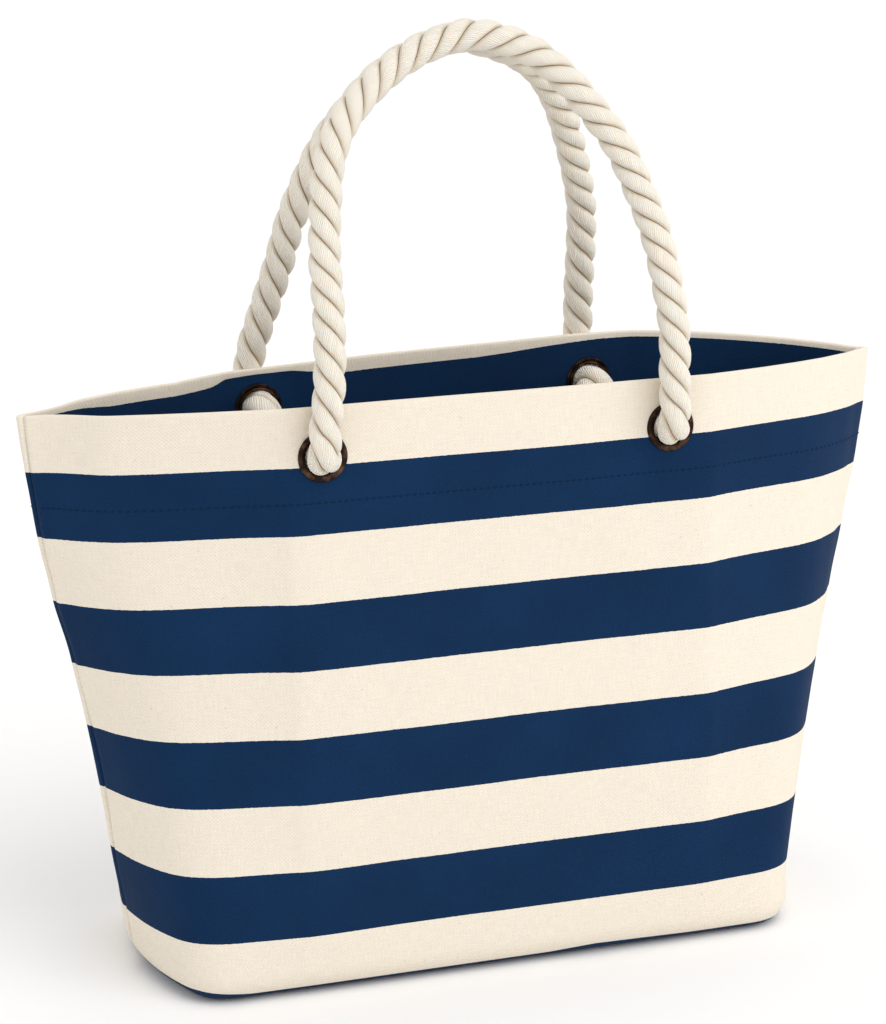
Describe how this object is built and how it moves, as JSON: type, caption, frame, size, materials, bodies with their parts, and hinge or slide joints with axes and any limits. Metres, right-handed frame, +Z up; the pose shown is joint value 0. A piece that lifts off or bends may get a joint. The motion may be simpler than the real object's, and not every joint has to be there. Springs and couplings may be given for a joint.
{
  "type": "beach bag",
  "caption": "Open-topped striped canvas beach bag with a flat base and twisted rope handles that pass through metal eyelets, knot inside and swing down outside.",
  "frame": {"origin": "centre of the base on the ground, midway between the side seams and between the panels", "axes": "+Z up, +X along the length towards the bag's right when its front panel is faced, -Y towards the front panel"},
  "size_m": [0.5378, 0.1786, 0.5636],
  "materials": {
    "canvas": "matt heavy cotton canvas with broad woven navy and cream stripes",
    "tape": "matt cotton seam tape",
    "rope": "matt natural cotton rope",
    "eyelet": "antique bronze, half polished",
    "twine": "matt waxed cotton twine"
  },
  "bodies": {
    "bag": {"front_panel": "canvas", "back_panel": "canvas", "left_side_binding": "tape", "right_side_binding": "tape", "left_corner_binding": "tape", "right_corner_binding": "tape", "base_seam_binding": "tape", "front_left_eyelet": "eyelet", "front_right_eyelet": "eyelet", "rear_left_eyelet": "eyelet", "rear_right_eyelet": "eyelet", "front_left_washer": "eyelet", "front_right_washer": "eyelet", "rear_left_washer": "eyelet", "rear_right_washer": "eyelet", "front_left_knot": "rope", "front_right_knot": "rope", "rear_left_knot": "rope", "rear_right_knot": "rope", "front_left_whipping": "twine", "front_right_whipping": "twine", "rear_left_whipping": "twine", "rear_right_whipping": "twine"},
    "front_handle": {"front_handle_rope": "rope"},
    "rear_handle": {"rear_handle_rope": "rope"}
  },
  "joints": [
    {"name": "front_handle_swing", "type": "hinge", "parent": "bag", "child": "front_handle", "pos_m": [0, -0.07936, 0.32487], "axis": [1, 0, 0], "range_deg": [0, 180]},
    {"name": "rear_handle_swing", "type": "hinge", "parent": "bag", "child": "rear_handle", "pos_m": [0, 0.07936, 0.32487], "axis": [-1, 0, 0], "range_deg": [0, 180]}
  ]
}
